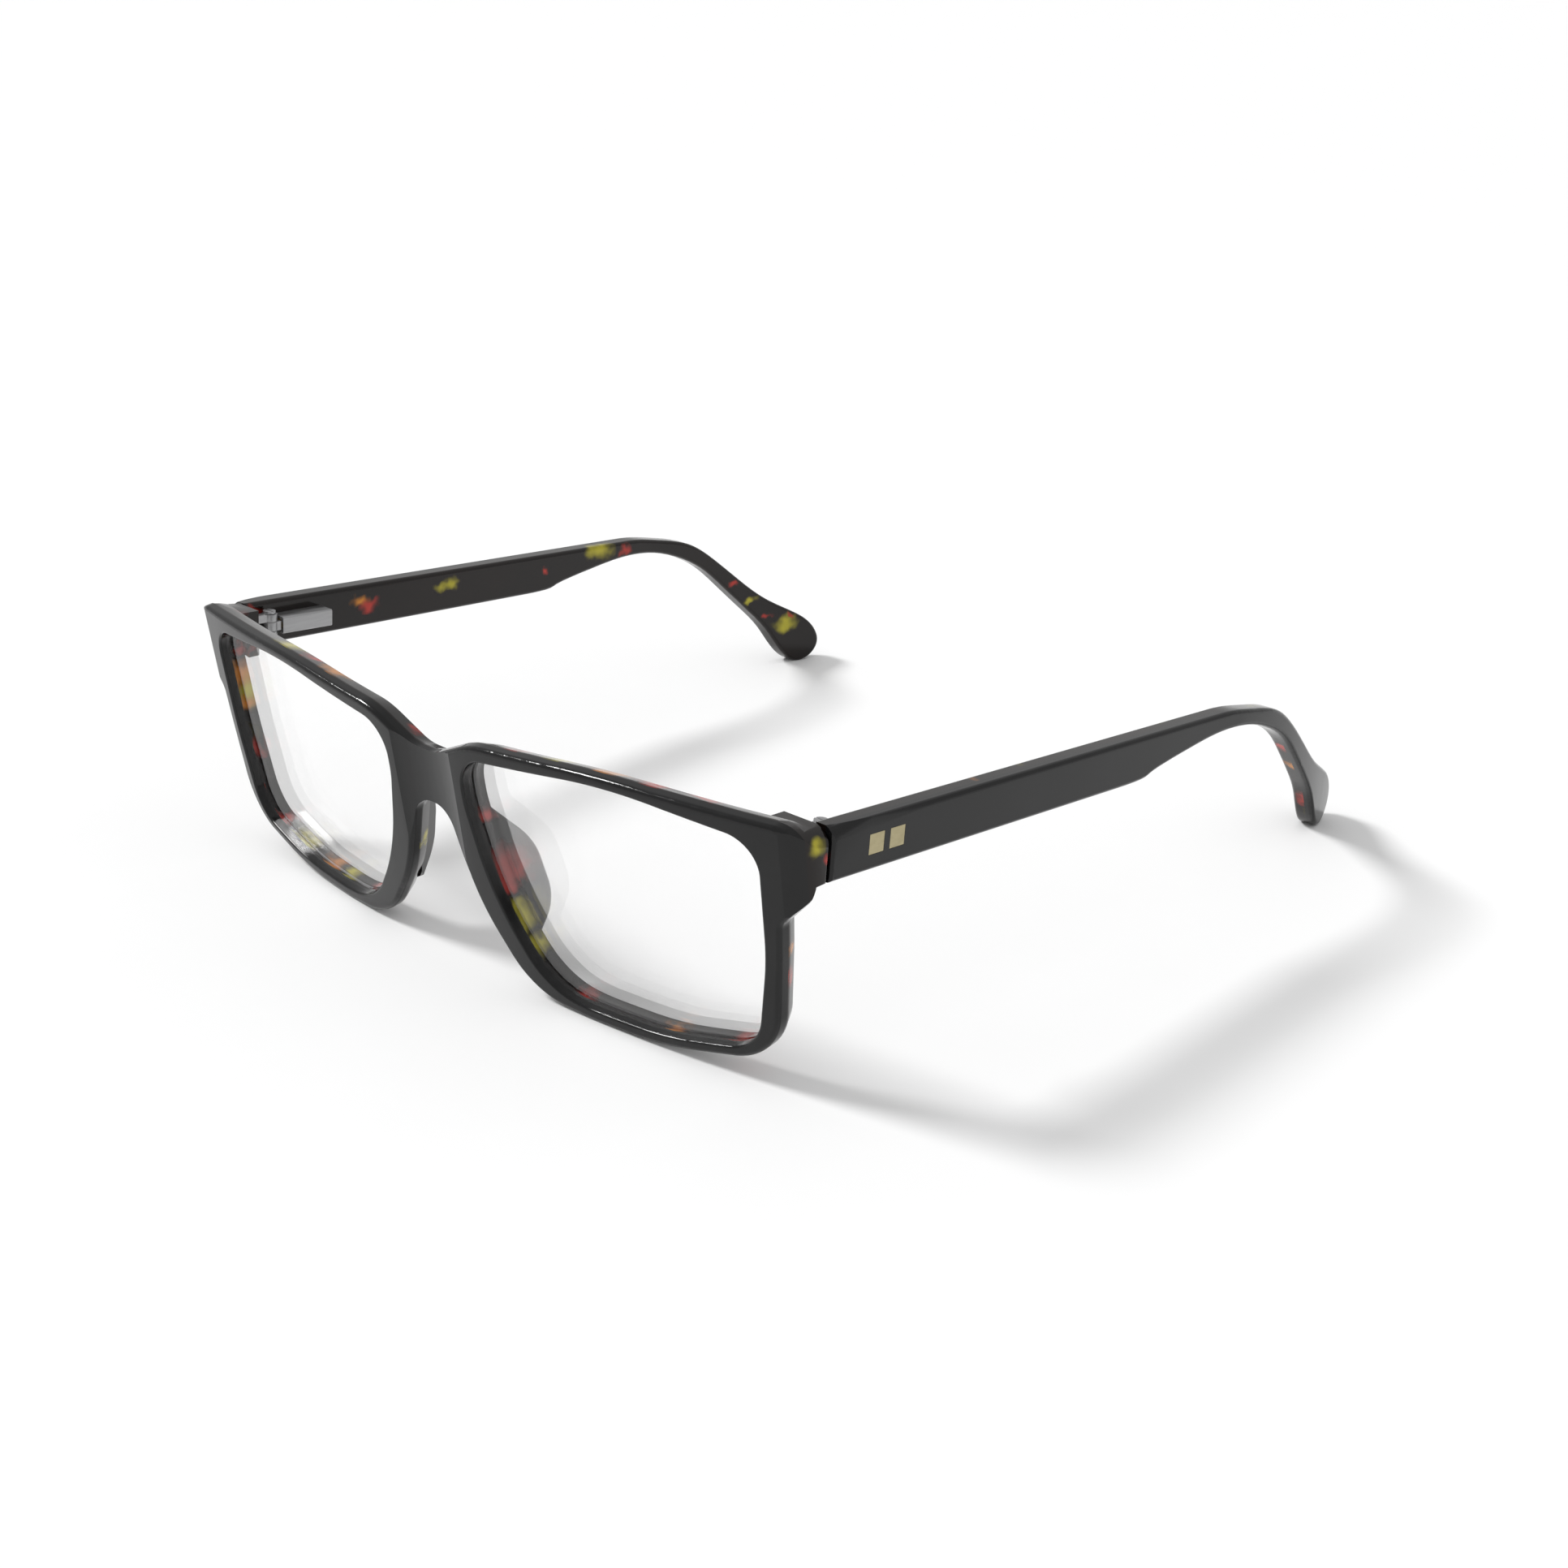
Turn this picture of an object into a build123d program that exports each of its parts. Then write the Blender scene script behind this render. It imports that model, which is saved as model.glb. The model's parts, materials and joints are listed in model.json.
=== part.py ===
from build123d import *
import math
import os

os.makedirs("parts", exist_ok=True)

# Rectangular acetate eyeglasses, open, resting on the rim bottoms and the two temple tips.
# +Z is up, the lenses face -Y, and +X is the wearer's left. Lengths are in millimetres.

# Front: the size of the spectacle frame
lens_width = 52.0
lens_height = 38.1
bridge_width = 17.7
frame_width = 136.0
wrap_radius = 304.0
front_lean = 9.0
black_layer = 1.7
tortoise_layer = 2.5

# Front: rims, bridge and end pieces
rim_bottom = 2.0
rim_brow = 1.9
side_rim = 3.05
brow_fall = 1.8
end_fall = 0.9
end_height = 10.4
bridge_dip = 5.8
bridge_height = 8.9
bridge_flat = 2.4
front_round = 0.8
opening_round = 0.4
back_bevel_up = 1.1
back_bevel_deep = 2.2
bridge_recess = 0.9
bridge_recess_half = 7.2
end_corner_radius = 4.4
end_front_round = 5.4
notch_radius = 2.4
end_block_width = 8.4
end_block_slope = 1.2
end_edge_round = 0.8

# Lenses: bevelled edge in a groove of the tortoise layer
lens_thickness = 2.0
lens_setback = 1.3
lens_clearance = 0.05
bevel_width = 0.8
bevel_reach = 0.55
bevel_nose = 0.28

# Nose pads, bonded behind the nasal rims
pad_reach = 4.4
pad_flare = 24.0
pad_round = 1.0
pad_curve = 9.0
pad_width = 4.0
pad_top = 29.6
pad_peak_top = 21.6
pad_peak_bottom = 12.4
pad_bottom = 5.5

# Hinge joint: the end piece meets the temple square to the temple
joint_depth = 13.0
joint_drop = 5.9
joint_gap = 0.5

# Temples: measured along and across the straight part, from the joint
temple_height = 7.7
temple_black = 1.6
temple_tortoise = 2.2
temple_length = 146.1
temple_drop = 28.4
temple_splay = 1.95
temple_bend_start = 94.5
temple_bend_radius = 168.0
temple_bend_angle = 28.0
temple_round = 0.8
neck_fall = 0.5
tip_radius = 5.1

# Square metal inlays in the outer face of the temples
inlay_size = 2.9
inlay_gap = 1.2
inlay_first = 9.0
inlay_depth = 0.6
inlay_clearance = 0.02

# Spring hinge: a leaf in the front, a screw, and a sprung slider in a case on the temple
axis_inset = 5.4
axis_behind = 4.1
barrel_radius = 1.3
screw_radius = 0.6
running_clearance = 0.04
seat_clearance = 0.01
middle_barrel = 1.6
outer_barrel = 1.3
screw_head_radius = 1.05
screw_head_height = 0.5
screw_tail = 0.3
screw_slot_width = 0.25
screw_slot_depth = 0.25
leaf_width = 3.6
leaf_height = 5.6
leaf_thickness = 1.0
arm_width = 1.6
anchor_width = 1.8
anchor_height = 3.2
anchor_length = 1.7
case_gap = 0.15
case_length = 10.0
case_height = 2.9
case_inner_side = 1.35
case_foot_x = -2.2
case_wall = 0.4
case_round = 0.3
bore_radius = 1.05
rod_radius = 0.5
rod_length = 8.5
shoulder_length = 1.7
shoulder_width = 2.0
bush_length = 1.3
nut_length = 1.2
spring_wire_radius = 0.12
spring_mean_radius = 0.78
spring_turns = 8

# Core wire: a flat steel strip inside the tortoise layer of each temple
core_height = 1.8
core_thickness = 0.9
core_clearance = 0.03

# How far cuts and stock run past the shape that they meet
overrun = 12.0

# How far a face may turn from sideways and still belong to a flat side of the temple, as a cosine
level_share = 0.8

half_width = frame_width / 2
front_depth = black_layer + tortoise_layer
temple_thickness = temple_black + temple_tortoise
lens_centre_x = (bridge_width + lens_width) / 2

# Heights on the front, above the lowest point of the rims
lens_centre_up = rim_bottom + lens_height / 2
brow_height = rim_bottom + lens_height + rim_brow
brow_start_height = brow_height - brow_fall
end_top = brow_height - end_fall
end_bottom = end_top - end_height
bridge_top = brow_height - bridge_dip
bridge_bottom = bridge_top - bridge_height
joint_height = end_top - joint_drop

# The lowest point of the front, on its rounded lower edge, stands at zero height
lean = math.radians(front_lean)
front_up = (0, -math.sin(lean), math.cos(lean))
front_back = (0, math.cos(lean), math.sin(lean))
rest_wrap = (lens_centre_x - lens_width / 8)**2 / (2 * wrap_radius)
rest_lift = -front_round * (math.cos(lean) + math.sin(lean) - 1) - rest_wrap * math.sin(lean)

# The temple slopes just enough for its tip to reach the same level as the rims
joint_up = joint_depth * math.sin(lean) + joint_height * math.cos(lean) + rest_lift
joint_back = joint_depth * math.cos(lean) - joint_height * math.sin(lean)
tip_arm = math.hypot(temple_length - tip_radius, temple_drop - tip_radius)
tip_angle = math.atan2(temple_drop - tip_radius, temple_length - tip_radius)
slope = math.asin((joint_up - tip_radius) / tip_arm) - tip_angle

# The origin is under the middle of the whole: the brow is foremost and the tips are rearmost
foremost = -brow_height * math.sin(lean)
rearmost = joint_back + tip_arm * math.cos(slope + tip_angle) + tip_radius
shift_back = -(foremost + rearmost) / 2
front_origin = (0, shift_back, rest_lift)
joint_origin = (half_width, shift_back + joint_back, joint_up)

# Planes of the front: facing the viewer, looking down on the wrap, and from the side
front_plane = Plane(origin=front_origin, x_dir=(1, 0, 0), z_dir=[-part for part in front_back])
wrap_plane = Plane(origin=front_origin, x_dir=(1, 0, 0), z_dir=front_up)
front_side_plane = Plane(origin=front_origin, x_dir=front_back, z_dir=(1, 0, 0))

# Planes of the left temple: from the side, looking down on it, and along it
along = (0, math.cos(slope), -math.sin(slope))
across = (0, math.sin(slope), math.cos(slope))
temple_side_plane = Plane(origin=joint_origin, x_dir=along, z_dir=(1, 0, 0))
temple_plan_plane = Plane(origin=joint_origin, x_dir=(1, 0, 0), z_dir=across)
temple_end_plane = Plane(origin=joint_origin, x_dir=(1, 0, 0), z_dir=along)

# Outline of a lens opening, as shares of half the lens width and height from its centre,
# with each corner's radius as a share of the lens height
opening_shares = [
    (-1.004, 0.863), (0.098, 1.032), (1.022, 0.895), (1.010, -0.037), (0.912, -0.842),
    (0.294, -1.004), (-0.225, -1.004), (-0.544, -0.963), (-0.887, -0.279), (-1.004, 0.463),
]
opening_radius_shares = [0.145, 1.97, 0.142, 1.3, 0.184, 1.3, 0.8, 0.34, 1.05, 0.4]

# Lower edge of a rim from the bottom outer corner to the nose, as shares of half the lens width
# from its centre and of the lens centre's height
lower_shares = [(1.030, 0.187), (0.275, 0.0), (-0.225, 0.0), (-0.679, 0.040), (-1.013, 0.601)]
lower_radius_shares = [0.26, 1.5, 1.0, 0.36, 0.8]
brow_radius_shares = [0.18, 0.42, 3.6]

# Where a nose pad stands across the nasal rim, and how much it leans in towards its top
pad_foot_share = 0.92
pad_lean_share = 0.30

# Outline of the temple's drop, over the bend, round the tip and back under the neck, as shares
# of the temple length and drop from the joint, and where the neck and the belly meet it
drop_shares = [
    (0.698, 0.081), (0.754, 0.018), (0.803, -0.123), (0.8526, -0.306), (0.904, -0.479), (0.951, -0.595),
    (0.989, -0.725), (1.0, -0.852), (0.9886, -0.961), (0.964, -1.0), (0.939, -0.926), (0.907, -0.729),
    (0.866, -0.535), (0.820, -0.338), (0.778, -0.176), (0.7355, -0.074), (0.686, -0.007), (0.629, 0.005),
    (0.564, -0.039), (0.4986, -0.106),
]
core_shares = [(0.616, 0.056), (0.686, 0.037), (0.736, -0.016), (0.785, -0.130), (0.829, -0.287), (0.888, -0.525)]
neck_share = 0.630
belly_share = 0.441


def lens_points(shares):
    """Shares of the half lens as places on the front plane."""
    return [(lens_centre_x + side_share * lens_width / 2, lens_centre_up + up_share * lens_height / 2)
            for side_share, up_share in shares]


def drop_points(shares):
    """Shares of the temple as places on its side plane."""
    return [(long_share * temple_length, up_share * temple_drop) for long_share, up_share in shares]


def opening_sketch(grow, right=False):
    """A lens opening, grown by an amount, ahead of the front plane."""
    with BuildSketch(front_plane.offset(overrun)) as sketch:
        with BuildLine():
            radii = [share * lens_height for share in opening_radius_shares]
            FilletPolyline(*lens_points(opening_shares), radius=radii, close=True)
        make_face()
        if grow:
            offset(amount=grow)
        if right:
            mirror(about=Plane.YZ, mode=Mode.REPLACE)
    return sketch.sketch


def front_outline_sketch():
    """The whole outline of the front, drawn as its left half and mirrored."""
    side_x = lens_centre_x + lens_width / 2 + side_rim
    lower_points = [(lens_centre_x + side_share * lens_width / 2, up_share * lens_centre_up)
                    for side_share, up_share in lower_shares]
    corners = [
        (0, bridge_top), (bridge_flat, bridge_top),
        (bridge_width / 2 + bridge_flat, brow_start_height), (lens_centre_x, brow_height),
        (half_width, end_top), (half_width, end_bottom),
        (side_x, end_bottom - end_corner_radius), (side_x - opening_round, lens_centre_up),
    ] + lower_points + [(bridge_width / 5, bridge_bottom), (0, bridge_bottom)]
    radii = [share * lens_height for share in brow_radius_shares]
    radii += [end_corner_radius, end_corner_radius, notch_radius, lens_height]
    radii += [share * lens_height for share in lower_radius_shares] + [bridge_width / 4]
    with BuildSketch(front_plane.offset(overrun)) as sketch:
        with BuildLine():
            FilletPolyline(*corners, radius=radii)
            Line(corners[-1], corners[0])
        make_face()
        mirror(about=Plane.YZ)
    return sketch.sketch


through_front = front_depth + 3 * overrun


def wrap_band(near, far):
    """A curved slab that follows the wrap of the front, between two depths behind its face."""
    reach = half_width + overrun
    deepest = reach**2 / wrap_radius
    with BuildPart() as band:
        with BuildSketch(wrap_plane.offset(-overrun)):
            with Locations((0, wrap_radius)):
                Circle(wrap_radius - near)
                Circle(wrap_radius - far, mode=Mode.SUBTRACT)
            with Locations((0, deepest / 2)):
                Rectangle(2 * reach, deepest + 2 * far + overrun, mode=Mode.INTERSECT)
        extrude(amount=end_top + 2 * overrun)
    return band.part


def outer_and_inner_face(part, face_axis):
    """The two largest faces of a layer, the nearer along the axis first."""
    return part.faces().sort_by(SortBy.AREA)[-2:].sort_by(face_axis)


def rounded_ends():
    """A tall block round the front, seen from above, with its two outer front corners rounded."""
    corner_depth = half_width**2 / (2 * wrap_radius)
    deep = corner_depth + 3 * overrun
    with BuildPart() as block:
        with BuildSketch(wrap_plane.offset(-overrun)) as plan:
            with BuildLine():
                FilletPolyline((0, -corner_depth), (half_width, corner_depth), (half_width, deep),
                               radius=end_front_round)
                Polyline((half_width, deep), (0, deep), (0, -corner_depth))
            make_face()
            mirror(about=Plane.YZ)
        extrude(amount=end_top + 2 * overrun)
    return block.part


back_axis = Axis(origin=front_origin, direction=front_back)


def mirrored(part, right):
    """The part itself, or its mirror image for the right side."""
    return mirror(part, about=Plane.YZ, mode=Mode.PRIVATE) if right else part


def bevel_plate(width, reach, nose, right=False):
    """A thin curved plate round the middle of the lens edge, past the opening by its reach."""
    middle = lens_setback + lens_thickness / 2
    with BuildPart() as plate:
        add(wrap_band(middle - width / 2, middle + width / 2))
        extrude(opening_sketch(reach, right), amount=-through_front, mode=Mode.INTERSECT)
        if nose:
            faces = outer_and_inner_face(plate.part, back_axis)
            chamfer(faces[0].edges() + faces[1].edges(), length=nose)
    return plate.part


def lens_room():
    """The space that the lens and its groove take up between the faces of the front."""
    with BuildPart() as room:
        add(wrap_band(0, front_depth))
        extrude(opening_sketch(bevel_reach), amount=-through_front, mode=Mode.INTERSECT)
    return room.part


def end_block(right=False):
    """The end piece behind the rim, tapering to the square face that the temple closes against."""
    half_end = temple_height / 2
    tilt = lean + slope
    face_top = (joint_depth + half_end * math.sin(tilt), joint_height + half_end * math.cos(tilt))
    face_bottom = (joint_depth - half_end * math.sin(tilt), joint_height - half_end * math.cos(tilt))
    root_depth = half_width**2 / (2 * wrap_radius) + black_layer
    with BuildPart() as block:
        with BuildSketch(front_side_plane.offset(half_width - end_block_width)):
            with BuildLine():
                Polyline((root_depth, end_top - end_block_slope), face_top, face_bottom,
                         (root_depth, end_bottom + end_block_slope), close=True)
            make_face()
        extrude(amount=end_block_width)
        outer_edges = block.faces().sort_by(Axis.X)[-1].edges().sort_by(back_axis)
        fillet(outer_edges[1:], end_edge_round)
        add(wrap_band(black_layer, root_depth + 3 * overrun), mode=Mode.INTERSECT)
        add(rounded_ends(), mode=Mode.INTERSECT)
        add(lens_room(), mode=Mode.SUBTRACT)
    return mirrored(block.part, right)


def hinge_pocket(right=False):
    """The space in the end piece that holds the hinge leaf and its anchor."""
    with BuildPart() as pocket:
        with BuildSketch(temple_end_plane.offset(-leaf_thickness)):
            with Locations((-axis_inset, 0)):
                Rectangle(leaf_width + 2 * seat_clearance, leaf_height + 2 * seat_clearance)
        extrude(amount=leaf_thickness + overrun)
        with BuildSketch(temple_end_plane.offset(-leaf_thickness - anchor_length - seat_clearance)):
            with Locations((-axis_inset, 0)):
                Rectangle(anchor_width + 2 * seat_clearance, anchor_height + 2 * seat_clearance)
        extrude(amount=anchor_length + leaf_thickness)
    return mirrored(pocket.part, right)


# Black front layer: rounded towards the viewer, with a shallow saddle across the bridge
with BuildPart() as front_outer_layer:
    add(wrap_band(0, black_layer))
    extrude(front_outline_sketch(), amount=-through_front, mode=Mode.INTERSECT)
    fillet(outer_and_inner_face(front_outer_layer.part, back_axis)[0].edges(), front_round)
    add(rounded_ends(), mode=Mode.INTERSECT)
    for right in (False, True):
        extrude(opening_sketch(0, right), amount=-through_front, mode=Mode.SUBTRACT)
    front_face = outer_and_inner_face(front_outer_layer.part, back_axis)[0]
    fillet([edge for wire in front_face.inner_wires() for edge in wire.edges()], opening_round)
    scoop_radius = (bridge_recess_half**2 + bridge_recess**2) / (2 * bridge_recess)
    with BuildSketch(wrap_plane.offset(-overrun)):
        with Locations((0, bridge_recess - scoop_radius)):
            Circle(scoop_radius)
    extrude(amount=end_top + 2 * overrun, mode=Mode.SUBTRACT)

# Tortoise back layer, with the end pieces that run back to the hinges
with BuildPart() as front_inner_layer:
    add(wrap_band(black_layer, front_depth))
    extrude(front_outline_sketch(), amount=-through_front, mode=Mode.INTERSECT)
    back_face = outer_and_inner_face(front_inner_layer.part, back_axis)[1]
    chamfer(back_face.edges(), length=back_bevel_up, length2=back_bevel_deep, reference=back_face)
    add(rounded_ends(), mode=Mode.INTERSECT)
    for right in (False, True):
        extrude(opening_sketch(0, right), amount=-through_front, mode=Mode.SUBTRACT)
        add(bevel_plate(bevel_width + 2 * lens_clearance, bevel_reach, 0, right), mode=Mode.SUBTRACT)
    for right in (False, True):
        add(end_block(right))
        add(hinge_pocket(right), mode=Mode.SUBTRACT)

# Lens: a curved plate with a bevelled edge that sits in the groove of the tortoise layer
with BuildPart() as lens:
    add(wrap_band(lens_setback, lens_setback + lens_thickness))
    extrude(opening_sketch(-lens_clearance), amount=-through_front, mode=Mode.INTERSECT)
    add(bevel_plate(bevel_width, bevel_reach - lens_clearance, bevel_nose))

# Nose pad: a rounded block that flares out behind the nasal rim
with BuildPart() as nose_pad:
    nasal_lean = (pad_top - pad_bottom) * pad_lean_share
    pad_foot = lens_centre_x - lens_width / 2 * pad_foot_share
    pad_corners = [
        (pad_foot, pad_bottom), (pad_foot - nasal_lean, pad_top),
        (pad_foot - nasal_lean + pad_width, pad_top), (pad_foot + pad_width, pad_bottom),
    ]
    flare = math.radians(pad_flare)
    flare_dir = Vector(math.sin(flare), 0, 0) + Vector(*front_back) * math.cos(flare)
    with BuildSketch(front_plane):
        with BuildLine():
            Polyline(*pad_corners, close=True)
        make_face()
    extrude(amount=front_depth + 2 * pad_reach, dir=flare_dir)
    with BuildSketch(front_side_plane):
        with BuildLine():
            back = front_depth + pad_reach
            FilletPolyline((front_depth - pad_round, pad_bottom), (back, pad_peak_bottom),
                           (back, pad_peak_top), (front_depth - pad_round, pad_top),
                           radius=[pad_curve, pad_curve])
            Line((front_depth - pad_round, pad_top), (front_depth - pad_round, pad_bottom))
        make_face()
    extrude(amount=half_width, mode=Mode.INTERSECT)
    long_edges = nose_pad.edges().filter_by(lambda edge: edge.length > pad_width * 1.5)
    fillet(long_edges.sort_by(back_axis)[-2:], pad_round)
    add(wrap_band(front_depth, front_depth + 3 * overrun), mode=Mode.INTERSECT)


def temple_band(near, far):
    """The temple seen from above, between two depths behind its outer face, as a tall block."""
    splay = math.radians(temple_splay)
    heading = Vector(math.sin(splay), math.cos(splay))
    inward = Vector(-math.cos(splay), math.sin(splay))
    with BuildPart() as band:
        with BuildSketch(temple_plan_plane.offset(-temple_drop - overrun)):
            with BuildLine():
                near_start = inward * near - heading * overrun
                far_start = inward * far - heading * overrun
                near_line = Line(near_start, near_start + heading * (temple_bend_start + overrun))
                far_line = Line(far_start, far_start + heading * (temple_bend_start + overrun))
                near_arc = JernArc(near_line @ 1, heading, temple_bend_radius - near, temple_bend_angle)
                far_arc = JernArc(far_line @ 1, heading, temple_bend_radius - far, temple_bend_angle)
                Line(near_start, far_start)
                Line(near_arc @ 1, far_arc @ 1)
            make_face()
        extrude(amount=temple_drop + temple_height + 2 * overrun)
    return band.part


def temple_profile():
    """The temple seen from the side: a straight bar, a thin neck and a paddle that hangs down."""
    half_height = temple_height / 2
    neck_point = (neck_share * temple_length, half_height - neck_fall)
    belly_point = (belly_share * temple_length, -half_height)
    with BuildSketch(temple_side_plane.offset(overrun)) as sketch:
        with BuildLine():
            Line((joint_gap, half_height), neck_point)
            Spline([neck_point] + drop_points(drop_shares) + [belly_point],
                   tangents=[(temple_length, -neck_fall), (-temple_length, 0)])
            Line(belly_point, (joint_gap, -half_height))
            Line((joint_gap, -half_height), (joint_gap, half_height))
        make_face()
    return sketch.sketch


def rim_edges(part, side):
    """Edges round the outer (1) or the inner (-1) side of a temple layer."""
    faces = [face for face in part.faces() if face.normal_at().X * side > level_share]
    edges = [edge for face in faces for edge in face.edges()]
    return [edge for edge in edges if sum(edge.is_same(other) for other in edges) == 1]


def core_strip(grow):
    """The core wire from the case to the paddle, grown by an amount for the channel that holds it."""
    near = temple_black + (temple_tortoise - core_thickness) / 2 - grow
    belly_point = (belly_share * temple_length, 0)
    core_points = drop_points(core_shares)
    last_step = Vector(*core_points[-1]) - Vector(*core_points[-2])
    with BuildPart() as strip:
        with BuildSketch(temple_side_plane.offset(overrun)):
            with BuildLine():
                Line((case_end, 0), belly_point)
                Spline([belly_point] + core_points, tangents=[belly_point, last_step])
            trace(line_width=core_height + 2 * grow)
        extrude(amount=-across_temple)
        add(temple_band(near, near + core_thickness + 2 * grow), mode=Mode.INTERSECT)
    return strip.part


def case_block(grow):
    """The outside of the spring case, grown sideways by an amount for the seat that holds it."""
    inner_side = -axis_inset - case_inner_side
    with BuildPart() as block:
        with BuildSketch(temple_end_plane.offset(case_start - grow)):
            with Locations(((case_foot_x + inner_side) / 2, 0)):
                Rectangle(case_foot_x - inner_side, case_height + 2 * grow)
        extrude(amount=case_length + 2 * grow)
        fillet(block.edges().filter_by(Axis(origin=(0, 0, 0), direction=along)).sort_by(Axis.X)[:2], case_round)
    return block.part


def inlay_block(place, grow):
    """A square inlay, grown sideways by an amount for the pocket that holds it."""
    with BuildPart() as block:
        with BuildSketch(inlay_plane.offset(-inlay_depth)):
            with Locations((place, 0)):
                Rectangle(inlay_size + 2 * grow, inlay_size + 2 * grow)
        extrude(amount=inlay_depth + grow)
    return block.part


def rod_ring(start, length, outer, inner):
    """A ring round the slider rod."""
    with BuildPart() as ring:
        with BuildSketch(temple_end_plane.offset(start)):
            with Locations((-axis_inset, 0)):
                Circle(outer)
                Circle(inner, mode=Mode.SUBTRACT)
        extrude(amount=length)
    return ring.part


across_temple = half_width * 2
axis_place = (-axis_inset, axis_behind)
case_start = axis_behind + shoulder_length + case_gap
case_end = case_start + case_length
bush_end = case_start + bush_length
rod_end = axis_behind + shoulder_length + rod_length
nut_start = rod_end - nut_length
bore_clear = screw_radius + running_clearance
inlay_second = inlay_first + inlay_size + inlay_gap

splay = math.radians(temple_splay)
inlay_plane = Plane(
    origin=joint_origin,
    x_dir=Vector(*along) * math.cos(splay) + Vector(math.sin(splay), 0, 0),
    z_dir=Vector(math.cos(splay), 0, 0) - Vector(*along) * math.sin(splay),
)

# Black outer layer of the temple, with pockets for the two square inlays
with BuildPart() as temple_outer_layer:
    add(temple_band(0, temple_black))
    extrude(temple_profile(), amount=-across_temple, mode=Mode.INTERSECT)
    fillet(rim_edges(temple_outer_layer.part, 1), temple_round)
    for place in (inlay_first, inlay_second):
        add(inlay_block(place, inlay_clearance), mode=Mode.SUBTRACT)

# Tortoise inner layer of the temple, with the seat of the spring case and the channel of the core wire
with BuildPart() as temple_inner_layer:
    add(temple_band(temple_black, temple_thickness))
    extrude(temple_profile(), amount=-across_temple, mode=Mode.INTERSECT)
    fillet(rim_edges(temple_inner_layer.part, -1), temple_round)
    add(case_block(seat_clearance), mode=Mode.SUBTRACT)
    add(core_strip(core_clearance), mode=Mode.SUBTRACT)

# Square metal inlays, flush with the black face
with BuildPart() as inlay_front:
    add(inlay_block(inlay_first, 0))

with BuildPart() as inlay_rear:
    add(inlay_block(inlay_second, 0))

# Flat core wire inside the tortoise layer
with BuildPart() as core_wire:
    add(core_strip(0))

# Hinge leaf: a plate and its anchor in the end piece, with two knuckles
with BuildPart() as hinge_leaf:
    with BuildSketch(temple_end_plane.offset(-leaf_thickness)):
        with Locations((-axis_inset, 0)):
            Rectangle(leaf_width, leaf_height)
    extrude(amount=leaf_thickness)
    with BuildSketch(temple_end_plane.offset(-leaf_thickness)):
        with Locations((-axis_inset, 0)):
            Rectangle(anchor_width, anchor_height)
    extrude(amount=-anchor_length)
    for level in (middle_barrel / 2 + running_clearance, -middle_barrel / 2 - running_clearance - outer_barrel):
        with BuildSketch(temple_plan_plane.offset(level)):
            with Locations(axis_place):
                Circle(barrel_radius)
            with Locations((-axis_inset, axis_behind / 2)):
                Rectangle(arm_width, axis_behind)
            with Locations(axis_place):
                Circle(bore_clear, mode=Mode.SUBTRACT)
        extrude(amount=outer_barrel)

# Hinge screw with a slotted head on the upper knuckle
with BuildPart() as hinge_screw:
    knuckle_top = middle_barrel / 2 + running_clearance + outer_barrel
    head_level = knuckle_top + running_clearance
    with BuildSketch(temple_plan_plane.offset(-knuckle_top - screw_tail)):
        with Locations(axis_place):
            Circle(screw_radius)
    extrude(amount=knuckle_top + screw_tail + head_level)
    with BuildSketch(temple_plan_plane.offset(head_level)):
        with Locations(axis_place):
            Circle(screw_head_radius)
    extrude(amount=screw_head_height)
    with BuildSketch(temple_plan_plane.offset(head_level + screw_head_height - screw_slot_depth)):
        with Locations(axis_place):
            Rectangle(3 * screw_head_radius, screw_slot_width)
    extrude(amount=screw_head_height, mode=Mode.SUBTRACT)

# Hinge slider: the middle knuckle with a shoulder and the rod that runs in the case
with BuildPart() as hinge_slider:
    with BuildSketch(temple_plan_plane.offset(-middle_barrel / 2)):
        with Locations(axis_place):
            Circle(barrel_radius)
        with Locations((-axis_inset, axis_behind + shoulder_length / 2)):
            Rectangle(shoulder_width, shoulder_length)
        with Locations(axis_place):
            Circle(bore_clear, mode=Mode.SUBTRACT)
    extrude(amount=middle_barrel)
    with BuildSketch(temple_end_plane.offset(axis_behind + shoulder_length)):
        with Locations((-axis_inset, 0)):
            Circle(rod_radius)
    extrude(amount=rod_length)

# Spring case, sunk in the tortoise layer and bored from the front
with BuildPart() as spring_case:
    add(case_block(0))
    with BuildSketch(temple_end_plane.offset(case_start)):
        with Locations((-axis_inset, 0)):
            Circle(bore_radius)
    extrude(amount=case_length - case_wall, mode=Mode.SUBTRACT)

# Bush in the mouth of the case, nut on the end of the rod, and the spring between them
with BuildPart() as guide_bush:
    add(rod_ring(case_start, bush_length, bore_radius - seat_clearance, rod_radius + running_clearance))

with BuildPart() as rod_nut:
    add(rod_ring(nut_start, nut_length, bore_radius - running_clearance, rod_radius + seat_clearance))

with BuildPart() as flex_spring:
    coil_length = nut_start - bush_end - 2 * spring_wire_radius - 2 * seat_clearance
    coil_start = temple_end_plane.offset(bush_end + spring_wire_radius + seat_clearance)
    with BuildLine():
        coil = Helix(pitch=coil_length / spring_turns, height=coil_length, radius=spring_mean_radius,
                     center=coil_start.from_local_coords((-axis_inset, 0, 0)), direction=along)
    with BuildSketch(Plane(origin=coil @ 0, z_dir=coil % 0)):
        Circle(spring_wire_radius)
    sweep(is_frenet=True)

# The two layers of the front are in the middle
for name, piece in (("front_outer_layer", front_outer_layer), ("front_inner_layer", front_inner_layer)):
    piece.part.label = name
    export_step(piece.part, f"parts/{name}.step")

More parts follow.
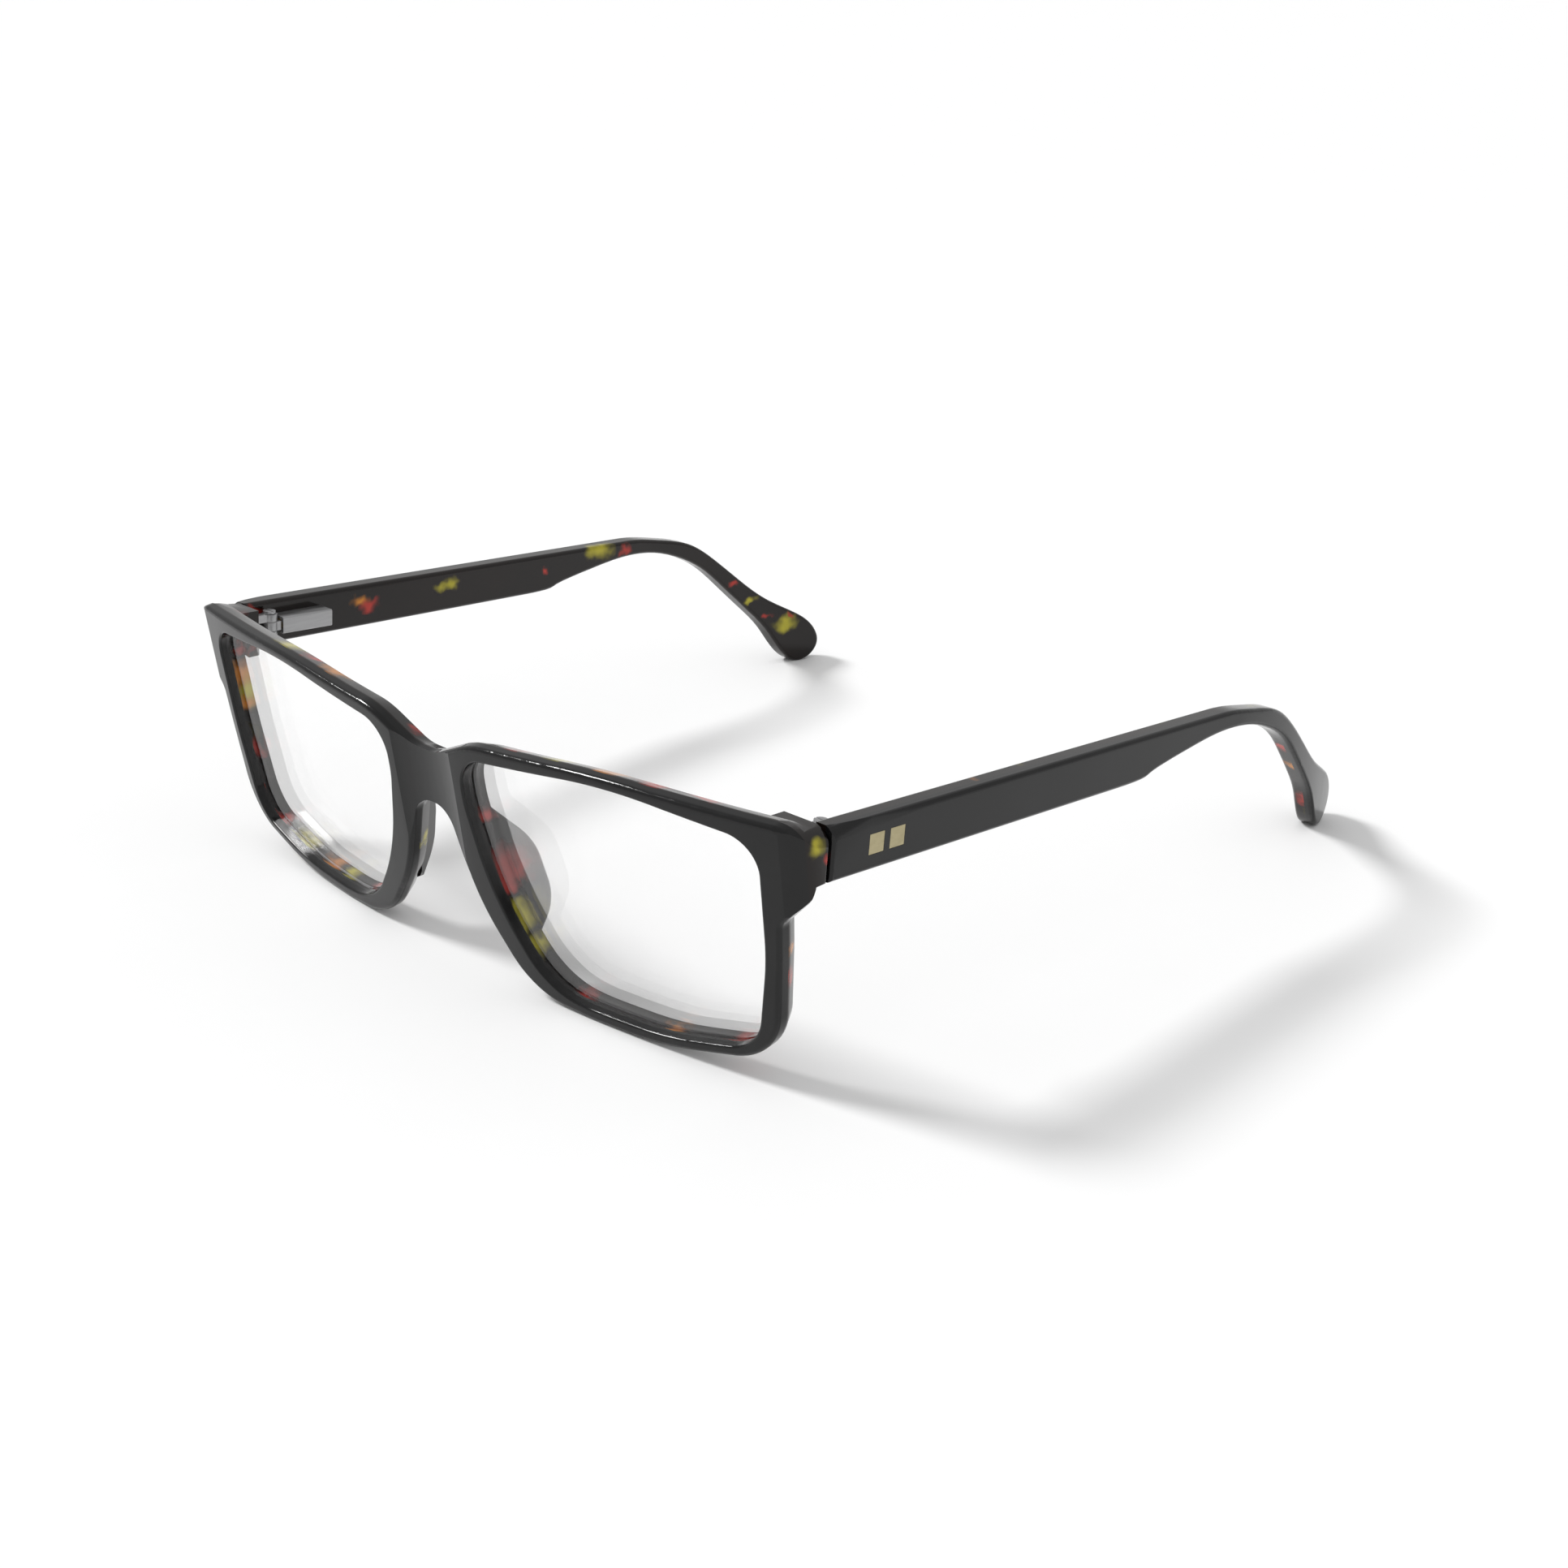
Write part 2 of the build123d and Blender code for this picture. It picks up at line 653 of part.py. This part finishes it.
# Every other piece is there once on the left and once, mirrored, on the right
side_pieces = {
    "lens": lens, "nose_pad": nose_pad,
    "hinge_leaf": hinge_leaf, "hinge_screw": hinge_screw, "hinge_slider": hinge_slider, "rod_nut": rod_nut,
    "spring_case": spring_case, "guide_bush": guide_bush, "flex_spring": flex_spring, "core_wire": core_wire,
    "temple_outer_layer": temple_outer_layer, "temple_inner_layer": temple_inner_layer,
    "inlay_front": inlay_front, "inlay_rear": inlay_rear,
}
for name, piece in side_pieces.items():
    piece.part.label = f"{name}_left"
    export_step(piece.part, f"parts/{name}_left.step")
    with BuildPart() as twin:
        mirror(piece.part, about=Plane.YZ)
    twin.part.label = f"{name}_right"
    export_step(twin.part, f"parts/{name}_right.step")
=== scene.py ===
import json
import math

import bmesh
import bpy
from mathutils import Matrix, Vector


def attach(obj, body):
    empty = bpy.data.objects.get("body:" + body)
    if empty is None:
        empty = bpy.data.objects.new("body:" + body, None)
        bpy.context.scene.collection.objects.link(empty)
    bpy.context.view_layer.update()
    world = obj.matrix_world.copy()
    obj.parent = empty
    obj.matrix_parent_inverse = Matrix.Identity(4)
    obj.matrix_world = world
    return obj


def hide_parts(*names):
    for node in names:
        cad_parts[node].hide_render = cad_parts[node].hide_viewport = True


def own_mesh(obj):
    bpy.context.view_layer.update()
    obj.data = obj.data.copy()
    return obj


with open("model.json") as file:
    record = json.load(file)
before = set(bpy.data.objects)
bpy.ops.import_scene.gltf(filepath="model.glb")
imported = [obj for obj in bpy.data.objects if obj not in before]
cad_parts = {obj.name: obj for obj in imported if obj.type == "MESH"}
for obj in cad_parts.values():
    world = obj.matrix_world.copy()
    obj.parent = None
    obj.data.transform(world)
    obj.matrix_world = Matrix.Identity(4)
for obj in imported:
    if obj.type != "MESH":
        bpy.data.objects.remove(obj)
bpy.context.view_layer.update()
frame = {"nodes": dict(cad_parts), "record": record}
nodes = frame["nodes"]
record = frame["record"]
scene = bpy.context.scene
milli = 0.001  # a millimetre in metres

nodeBody = {name: body for body, names in record["behaviour"]["bodies"].items() for name in names}


# Gives a socket its value: a link from another socket, a number, three numbers or a colour
def feed(tree, socket, value):
    if isinstance(value, bpy.types.NodeSocket):
        tree.links.new(value, socket)
    elif socket.type == "RGBA":
        socket.default_value = (*value, 1)
    else:
        socket.default_value = value


# A new node with its settings and inputs, by their names or numbers
def addNode(tree, kind, inputs, **settings):
    item = tree.nodes.new(f"ShaderNode{kind}")
    for name, value in settings.items():
        setattr(item, name, value)
    for key, value in inputs.items():
        feed(tree, item.inputs[key], value)
    return item


# A material with its node tree, its shader and the place on the object
def newMaterial(name):
    material = bpy.data.materials.new(name)
    material.use_nodes = True
    tree = material.node_tree
    place = addNode(tree, "TexCoord", {}).outputs["Object"]
    return material, tree, tree.nodes["Principled BSDF"], place


# Sets several of a shader's sockets
def setShader(tree, shader, inputs):
    for name, value in inputs.items():
        feed(tree, shader.inputs[name], value)


# A noise read at a place
def noise(tree, place, scale, detail=2.0):
    item = addNode(tree, "TexNoise", {"Vector": place, "Scale": scale, "Detail": detail})
    return item.outputs["Fac"]


# A value taken smoothly from one range to another
def remap(tree, value, low, high, toLow=0.0, toHigh=1.0):
    item = addNode(tree, "MapRange", {"Value": value, "From Min": low, "From Max": high,
                                      "To Min": toLow, "To Max": toHigh},
                   interpolation_type="SMOOTHSTEP")
    return item.outputs["Result"]


# A colour between two others. A Mix node's colour inputs are numbers 6 and 7, its output number 2
def mixColour(tree, share, first, second):
    return addNode(tree, "Mix", {0: share, 6: first, 7: second}, data_type="RGBA").outputs[2]


# Arithmetic on places
def vectorMath(tree, operation, *values):
    return addNode(tree, "VectorMath", dict(enumerate(values)), operation=operation)


# Lets a height stand out of a surface
def bump(tree, shader, height, strength, distance):
    item = addNode(tree, "Bump", {"Height": height, "Strength": strength, "Distance": distance})
    tree.links.new(item.outputs["Normal"], shader.inputs["Normal"])


# Both acetates have the same polish, which leaves the faint waves of tumbling
polish = {"specular": 0.32, "waveScale": 190.0, "waveStrength": 0.04, "waveHeight": 0.0002}


def addPolish(tree, shader, place, values):
    setShader(tree, shader, {"Specular IOR Level": values["specular"]})
    waves = noise(tree, place, values["waveScale"])
    bump(tree, shader, waves, values["waveStrength"], values["waveHeight"])


# Black acetate: nearly black with faint paler clouds, and a soft uneven gloss
black = {
    "shade": (0.0035, 0.0035, 0.0036), "paler": (0.006, 0.006, 0.0062),
    "cloudScale": 60.0, "cloudRange": (0.35, 0.7),
    "glossScale": 420.0, "glossDetail": 4.0, "glossRange": (0.3, 0.7), "roughness": (0.09, 0.14),
}


def blackAcetate(values):
    material, tree, shader, place = newMaterial("blackAcetate")
    cloud = remap(tree, noise(tree, place, values["cloudScale"]), *values["cloudRange"])
    gloss = noise(tree, place, values["glossScale"], values["glossDetail"])
    setShader(tree, shader, {
        "Base Color": mixColour(tree, cloud, values["shade"], values["paler"]),
        "Roughness": remap(tree, gloss, *values["glossRange"], *values["roughness"]),
    })
    addPolish(tree, shader, place, polish)
    return material


# Tortoise acetate: near black with soft olive, amber and red clouds, and a few stray ones that
# turn from olive to red. The warp, in metres, gives them all uneven edges
tortoise = {
    "dark": (0.0035, 0.0033, 0.0033), "brown": (0.011, 0.006, 0.0045), "groundScale": 70.0,
    "olive": (0.42, 0.37, 0.025), "amber": (0.55, 0.2, 0.02), "red": (0.42, 0.03, 0.02),
    "strayScale": 52.0, "strayRange": (0.68, 0.78), "strayDetail": 1.0,
    "toneScale": 33.0, "toneRange": (0.45, 0.58),
    "warpScale": 260.0, "warp": 0.0055, "coreShare": 0.1, "roughness": 0.12,
}

# The clouds of each sheet, with their places and half widths in millimetres, and the shares by
# which they are longer in X, Y and Z
frontStretch = (1.25, 1.0, 1.0)
frontClouds = [
    ((-38, -73, 41), 3.6, "olive"), ((-31.5, -73, 41), 2.6, "red"), ((-25, -74, 40.5), 3.4, "amber"),
    ((-6, -75, 35), 2.6, "red"), ((18, -74, 41), 3.0, "red"), ((27, -74, 41.5), 3.2, "olive"),
    ((36, -73, 41.5), 3.4, "amber"), ((43, -72, 41.5), 3.0, "red"), ((51, -71, 41), 2.6, "red"),
    ((-61.3, -67.4, 34.5), 1.8, "red"), ((-61.8, -68, 30), 3.2, "amber"),
    ((-61.8, -67.4, 24.5), 2.4, "amber"), ((-61, -67, 16), 2.4, "red"),
    ((-59.5, -67, 9), 2.2, "red"), ((-54, -67, 4.5), 2.0, "red"), ((-47.5, -67, 2.6), 3.6, "olive"),
    ((-38, -68, 2), 3.0, "amber"), ((-32, -68, 2), 2.2, "olive"), ((-24.3, -68.4, 2.9), 2.0, "red"),
    ((9, -73.5, 27), 2.2, "red"), ((12.2, -72, 16.5), 2.2, "red"), ((14.1, -71.5, 12), 2.8, "olive"),
    ((17, -71, 8), 2.6, "olive"), ((26.4, -69, 2), 2.0, "red"), ((42.7, -68, 2.6), 2.2, "amber"),
    ((54, -66, 4), 2.6, "red"), ((63.2, -66.3, 22), 1.8, "amber"), ((63.1, -66.5, 18), 1.6, "red"),
    ((68, -66.8, 38.4), 1.9, "olive"), ((68, -65.5, 35.6), 1.6, "red"),
    ((-7.5, -71.6, 17.7), 2.2, "olive"), ((-8.5, -72.5, 24), 2.0, "red"),
    ((12.7, -70.5, 18.5), 1.8, "red"), ((-66, -66, 38), 2.0, "red"),
]
templeStretch = (1.0, 1.5, 0.85)
templeClouds = [
    ((-64.5, -62.8, 39), 1.8, "red"), ((-65, -41, 36), 2.0, "amber"), ((-65, -38.8, 34.8), 2.2, "red"),
    ((-65.7, -20.5, 34.7), 2.1, "olive"), ((-66.5, 3.1, 33.7), 1.1, "red"),
    ((-67, 18.5, 34), 3.2, "olive"), ((-67.3, 25.5, 33), 1.9, "red"), ((-66, 57, 20), 1.6, "red"),
    ((-65.4, 61, 16), 1.5, "olive"), ((-64, 65.5, 12), 1.5, "red"), ((-63.3, 70.5, 9), 3.0, "olive"),
    ((-63, 71.5, 10.5), 1.0, "red"), ((68, -62.6, 37.6), 1.6, "red"), ((69.5, 38, 31.5), 2.2, "olive"),
    ((69.5, 43, 28.6), 1.8, "olive"), ((68.5, 52, 21), 1.8, "red"), ((68, 57, 17), 2.0, "amber"),
    ((66.5, 66, 7.5), 2.4, "red"), ((66, 71, 5), 2.4, "olive"), ((68.8, 20.7, 31.5), 1.5, "red"),
    ((66, -34, 36), 2.4, "amber"), ((66.5, -8, 34), 2.2, "red"), ((67, 12, 33.5), 2.6, "olive"),
]


# A place shaken by a coloured noise, so that what is drawn there has soft uneven edges
def warped(tree, place, scale, amount):
    shake = addNode(tree, "TexNoise", {"Vector": place, "Scale": scale}).outputs["Color"]
    shifted = vectorMath(tree, "MULTIPLY_ADD", shake, (amount, amount, amount), place)
    middle = (amount / 2, amount / 2, amount / 2)  # the noise is a half on average
    return vectorMath(tree, "SUBTRACT", shifted.outputs["Vector"], middle).outputs["Vector"]


# How much of a cloud shows at each place: whole in its core and gone past its edge
def cloudShare(tree, place, centre, half, coreShare):
    away = vectorMath(tree, "DISTANCE", place, centre).outputs["Value"]
    return remap(tree, away, half * coreShare * milli, half * milli, 1.0, 0.0)


def tortoiseAcetate(name, values, clouds, stretch):
    material, tree, shader, place = newMaterial(name)
    loose = warped(tree, place, values["warpScale"], values["warp"])
    ground = noise(tree, place, values["groundScale"])
    shade = mixColour(tree, ground, values["dark"], values["brown"])
    tone = noise(tree, place, values["toneScale"], values["strayDetail"])
    tone = remap(tree, tone, *values["toneRange"])
    stray = noise(tree, loose, values["strayScale"], values["strayDetail"])
    stray = remap(tree, stray, *values["strayRange"])
    shade = mixColour(tree, stray, shade, mixColour(tree, tone, values["olive"], values["red"]))
    drawn = vectorMath(tree, "DIVIDE", loose, stretch).outputs["Vector"]
    for centre, half, colour in clouds:
        drawnCentre = tuple(value * milli / share for value, share in zip(centre, stretch))
        cloud = cloudShare(tree, drawn, drawnCentre, half, values["coreShare"])
        shade = mixColour(tree, cloud, shade, values[colour])
    setShader(tree, shader, {"Base Color": shade, "Roughness": values["roughness"]})
    addPolish(tree, shader, place, polish)
    return material


# A clear lens: a see-through layer and a thin mirror, which shows more at a slant and where the
# lens is smeared. The cut edge hardly mirrors at all
glass = {
    "clear": (1.0, 1.0, 1.0), "film": (0.99, 0.99, 0.99), "filmShare": 0.05,
    "facing": 0.28, "slantShare": 0.3, "roughness": 0.03,
    "smearScale": 35.0, "smearDetail": 3.0, "smearRange": (0.3, 0.75), "smear": 0.015,
}
cutGlass = {**glass, "filmShare": 0.01, "slantShare": 0.03, "roughness": 0.35, "smear": 0.0}


def lensGlass(name, values):
    material, tree, shader, place = newMaterial(name)
    setShader(tree, shader, {"Base Color": values["film"], "Roughness": values["roughness"],
                             "Metallic": 1.0})
    clear = addNode(tree, "BsdfTransparent", {"Color": values["clear"]})
    slant = addNode(tree, "LayerWeight", {"Blend": values["facing"]}).outputs["Fresnel"]
    smears = noise(tree, place, values["smearScale"], values["smearDetail"])
    smears = remap(tree, smears, *values["smearRange"], 0.0, values["smear"])
    sheen = addNode(tree, "Math", {0: slant, 1: values["slantShare"], 2: smears},
                    operation="MULTIPLY_ADD")
    mirror = addNode(tree, "Math", {0: sheen.outputs["Value"], 1: values["filmShare"]},
                     operation="ADD")
    both = addNode(tree, "MixShader", {"Fac": mirror.outputs["Value"], 1: clear.outputs["BSDF"],
                                       2: shader.outputs["BSDF"]})
    tree.links.new(both.outputs["Shader"], tree.nodes["Material Output"].inputs["Surface"])
    return material


# Metals: satin hinge parts, drawn wire, turned brass and the matt khaki squares. The grain of
# each is counted per metre in X, Y and Z, and its height is in metres
metals = {
    "hingeSteel": {"shade": (0.3, 0.3, 0.305), "paler": (0.38, 0.38, 0.385), "metallic": 0.85,
                   "roughness": (0.3, 0.44), "grain": (900.0, 60.0, 900.0)},
    "drawnSteel": {"shade": (0.4, 0.4, 0.42), "paler": (0.55, 0.55, 0.57), "metallic": 1.0,
                   "roughness": (0.25, 0.4), "grain": (700.0, 90.0, 700.0)},
    "turnedBrass": {"shade": (0.6, 0.43, 0.2), "paler": (0.72, 0.55, 0.28), "metallic": 1.0,
                    "roughness": (0.2, 0.35), "grain": (800.0, 300.0, 800.0)},
    "khakiInlay": {"shade": (0.4, 0.345, 0.19), "paler": (0.47, 0.41, 0.24), "metallic": 0.25,
                   "roughness": (0.45, 0.6), "grain": (500.0, 500.0, 1200.0)},
}
metalGrain = {"detail": 3.0, "range": (0.3, 0.7), "strength": 0.3, "height": 0.00001}


def metal(name):
    values = metals[name]
    material, tree, shader, place = newMaterial(name)
    drawn = addNode(tree, "Mapping", {"Vector": place, "Scale": values["grain"]})
    grain = noise(tree, drawn.outputs["Vector"], 1.0, metalGrain["detail"])
    tone = remap(tree, grain, *metalGrain["range"])
    setShader(tree, shader, {
        "Base Color": mixColour(tree, tone, values["shade"], values["paler"]),
        "Roughness": remap(tree, grain, *metalGrain["range"], *values["roughness"]),
        "Metallic": values["metallic"],
    })
    bump(tree, shader, grain, metalGrain["strength"], metalGrain["height"])
    return material


materials = {
    "black_acetate": blackAcetate(black),
    "tortoise_acetate": tortoiseAcetate("tortoiseFront", tortoise, frontClouds, frontStretch),
    "lens": lensGlass("lensGlass", glass),
    "hinge_steel": metal("hingeSteel"),
    "spring_steel": metal("drawnSteel"),
    "brass": metal("turnedBrass"),
    "inlay": metal("khakiInlay"),
}
lensEdge = lensGlass("lensEdge", cutGlass)
templeTortoise = tortoiseAcetate("tortoiseTemple", tortoise, templeClouds, templeStretch)
print("Materials made")


# Hand finishing of the ends: the pads taper into the rims at their lower ends, and the outer top
# corners of the end pieces and of the temples beside them are rounded with flat cuts. Places are
# in millimetres on the left side. Each angle, in degrees up from straight out, is where a cut
# faces, and the slope is how far it also faces back for what it faces up
padTrim = {"points": ((11.6, -70.0, 10.0), (13.2, -70.0, 8.3)), "angles": (213.5, 240.0)}
endTrim = {"centre": (64.0, -70.0, 37.4), "radius": 4.1, "slope": 0.2,
           "angles": (14.0, 28.0, 42.0, 56.0, 70.0, 82.0)}
templeTrim = {"centre": (65.6, -65.0, 37.9), "radius": 2.45, "slope": -0.09,
              "angles": (20.0, 35.0, 50.0, 65.0, 78.0)}


# Cuts off what lies past a plane and closes the cut. The plane is given on the left side
def trimAway(work, point, normal, side):
    everything = work.verts[:] + work.edges[:] + work.faces[:]
    cut = bmesh.ops.bisect_plane(work, geom=everything, clear_outer=True,
                                 plane_co=Vector((point.x * side, point.y, point.z)),
                                 plane_no=Vector((normal.x * side, normal.y, normal.z)))
    edges = [item for item in cut["geom_cut"] if isinstance(item, bmesh.types.BMEdge)]
    if edges:
        bmesh.ops.holes_fill(work, edges=edges, sides=0)


# The shares of a direction that point out to the side and up
def outAndUp(angle):
    return math.cos(math.radians(angle)), math.sin(math.radians(angle))


# Rounds an upper outer corner with a few flat cuts round a centre
def trimCorner(work, values, side):
    centre = Vector(values["centre"]) * milli
    for angle in values["angles"]:
        out, up = outAndUp(angle)
        point = centre + Vector((out, 0, up)) * values["radius"] * milli
        trimAway(work, point, Vector((out, up * values["slope"], up)), side)


# Tapers the lower end of a nose pad towards the rim
def trimPad(work, values, side):
    for place, angle in zip(values["points"], values["angles"]):
        out, up = outAndUp(angle)
        trimAway(work, Vector(place) * milli, Vector((out, 0, up)), side)


def trimEnds(work, name):
    side = -1 if name.endswith("_right") else 1
    if name.startswith("nose_pad"):
        trimPad(work, padTrim, side)
    if name == "front_inner_layer":
        trimCorner(work, endTrim, 1)
        trimCorner(work, endTrim, -1)
    if name.startswith("temple_"):
        trimCorner(work, templeTrim, side)


# Points closer than the weld, in metres, become one, and faces that turn by less than flatTurn,
# in degrees, are joined. Edges sharper than each slot's crisp angle stay crisp, and on small
# metal they get a fine bevel, in metres. A lens face belongs to the cut edge where less than
# edgeShare of its normal points forwards or back
surface = {"weld": 0.000002, "flatTurn": 0.4, "bevelSteps": 2}
finish = {
    "black_acetate": {"crisp": 32.0, "bevel": 0.0},
    "tortoise_acetate": {"crisp": 32.0, "bevel": 0.0},
    "lens": {"crisp": 20.0, "bevel": 0.0, "edgeShare": 0.8},
    "hinge_steel": {"crisp": 28.0, "bevel": 0.00006},
    "spring_steel": {"crisp": 40.0, "bevel": 0.0},
    "brass": {"crisp": 28.0, "bevel": 0.00004},
    "inlay": {"crisp": 28.0, "bevel": 0.00005},
}


# Bevels the sharp edges where the finish asks for it, and smooths all but them
def finishEdges(work, values):
    crisp = math.radians(values["crisp"])
    if values["bevel"]:
        sharp = [edge for edge in work.edges
                 if len(edge.link_faces) == 2 and edge.calc_face_angle(0) > crisp]
        bmesh.ops.bevel(work, geom=sharp, offset=values["bevel"], offset_type="OFFSET",
                        segments=surface["bevelSteps"], profile=0.5, affect="EDGES",
                        clamp_overlap=True, material=-1)
    bmesh.ops.recalc_face_normals(work, faces=work.faces)
    for face in work.faces:
        face.smooth = True
    for edge in work.edges:
        edge.smooth = len(edge.link_faces) != 2 or edge.calc_face_angle(0) <= crisp


# The mesh of a finished piece, from a copy of its node's mesh
def finishedMesh(name, values):
    mesh = nodes[name].data.copy()
    mesh.materials.clear()
    work = bmesh.new()
    work.from_mesh(mesh)
    bmesh.ops.remove_doubles(work, verts=work.verts, dist=surface["weld"])
    bmesh.ops.dissolve_limit(work, angle_limit=math.radians(surface["flatTurn"]),
                             verts=work.verts, edges=work.edges)
    trimEnds(work, name)
    finishEdges(work, values)
    work.to_mesh(mesh)
    work.free()
    return mesh


# Gives a mesh its material. The temples have clouds of their own, and a lens has a cut edge
def addMaterials(mesh, name, slotName):
    onTemple = name.startswith("temple_inner_layer")
    mesh.materials.append(templeTortoise if onTemple else materials[slotName])
    if slotName == "lens":
        mesh.materials.append(lensEdge)
        for face in mesh.polygons:
            face.material_index = int(abs(face.normal.y) < finish["lens"]["edgeShare"])


# Gives a flex spring a mesh of its own
def compressSpring(item):
    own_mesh(item)


# A finished piece that stands for a node and moves with its body
def addPiece(name, slotName):
    mesh = finishedMesh(name, finish[slotName])
    addMaterials(mesh, name, slotName)
    item = bpy.data.objects.new(f"{name}_finished", mesh)
    scene.collection.objects.link(item)
    even = item.modifiers.new("evenNormals", "WEIGHTED_NORMAL")
    even.keep_sharp = True
    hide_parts(name)
    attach(item, nodeBody[name])
    if name.startswith("flex_spring"):
        compressSpring(item)


for subpart in record["subparts"]:
    addPiece(subpart["node"], subpart["material_slot"])
print("Pieces finished:", len(record["subparts"]))


# The camera at the photograph's view: where it stands from its target, with places in metres
# and angles in degrees
camera = {
    "azimuth": 41.93, "elevation": 21.74, "roll": 1.90, "distance": 0.35822,
    "target": (0.0003, 0.00073, 0.00879), "lens": 46.56, "sensor": 36.0, "nearest": 0.01,
}


# The unit direction from the object towards a viewer
def directionFrom(azimuth, elevation):
    around, above = math.radians(azimuth), math.radians(elevation)
    return Vector((math.sin(around) * math.cos(above), -math.cos(around) * math.cos(above),
                   math.sin(above)))


def addCamera(values):
    data = bpy.data.cameras.new("camera")
    data.lens = values["lens"]
    data.sensor_width = values["sensor"]
    data.clip_start = values["nearest"]
    item = bpy.data.objects.new("camera", data)
    back = directionFrom(values["azimuth"], values["elevation"])
    right = Vector((0, 0, 1)).cross(back).normalized()
    up = back.cross(right)
    roll = math.radians(values["roll"])
    rolledRight = right * math.cos(roll) + up * math.sin(roll)
    rolledUp = up * math.cos(roll) - right * math.sin(roll)
    turn = Matrix((rolledRight, rolledUp, back)).transposed()
    item.rotation_euler = turn.to_euler()
    item.location = Vector(values["target"]) + back * values["distance"]
    scene.collection.objects.link(item)
    scene.camera = item


# One soft key from the far left, whose spread is the angle in degrees that it is seen under, in
# an even pale room that is brighter at its horizon and fades to its own strength at horizonTop
light = {
    "keyFrom": (-0.64, -0.34, 0.69), "keySpread": 14.0, "keyStrength": 2.15,
    "roomShade": (0.98, 0.98, 0.98), "roomStrength": 0.66, "horizonStrength": 1.02,
    "horizonTop": 0.12,
}


def addKey(values):
    data = bpy.data.lights.new("key", "SUN")
    data.angle = math.radians(values["keySpread"])
    data.energy = values["keyStrength"]
    item = bpy.data.objects.new("key", data)
    item.rotation_euler = Vector(values["keyFrom"]).to_track_quat("Z", "Y").to_euler()
    scene.collection.objects.link(item)


def addRoom(values):
    world = bpy.data.worlds.new("room")
    world.use_nodes = True
    tree = world.node_tree
    direction = addNode(tree, "TexCoord", {}).outputs["Generated"]
    height = addNode(tree, "SeparateXYZ", {"Vector": direction}).outputs["Z"]
    strength = remap(tree, height, 0.0, values["horizonTop"], values["horizonStrength"],
                     values["roomStrength"])
    background = tree.nodes["Background"]
    feed(tree, background.inputs["Color"], values["roomShade"])
    feed(tree, background.inputs["Strength"], strength)
    scene.world = world


# A wide pale slab under the object, matt, with a barely seen grain. Lengths in metres
floor = {
    "half": 160.0, "thickness": 0.01, "shade": (0.93, 0.93, 0.93), "darkerShare": 0.995,
    "grainScale": 40.0, "grainDetail": 3.0, "grainRange": (0.3, 0.7),
    "roughness": 0.6, "specular": 0.1,
}


def paper(values):
    material, tree, shader, place = newMaterial("paleGround")
    grain = noise(tree, place, values["grainScale"], values["grainDetail"])
    tone = remap(tree, grain, *values["grainRange"])
    darker = tuple(values["darkerShare"] * part for part in values["shade"])
    setShader(tree, shader, {
        "Base Color": mixColour(tree, tone, darker, values["shade"]),
        "Roughness": values["roughness"],
        "Specular IOR Level": values["specular"],
    })
    return material


def addFloor(values):
    width, thickness = 2 * values["half"], values["thickness"]
    mesh = bpy.data.meshes.new("floor")
    work = bmesh.new()
    bmesh.ops.create_cube(work, size=1)
    bmesh.ops.scale(work, vec=(width, width, thickness), verts=work.verts)
    bmesh.ops.translate(work, vec=(0, 0, -thickness / 2), verts=work.verts)
    work.to_mesh(mesh)
    work.free()
    mesh.materials.append(paper(values))
    item = bpy.data.objects.new("floor", mesh)
    scene.collection.objects.link(item)


addCamera(camera)
addKey(light)
addRoom(light)
addFloor(floor)
scene.view_settings.view_transform = "Standard"
print("Camera, light and ground set")
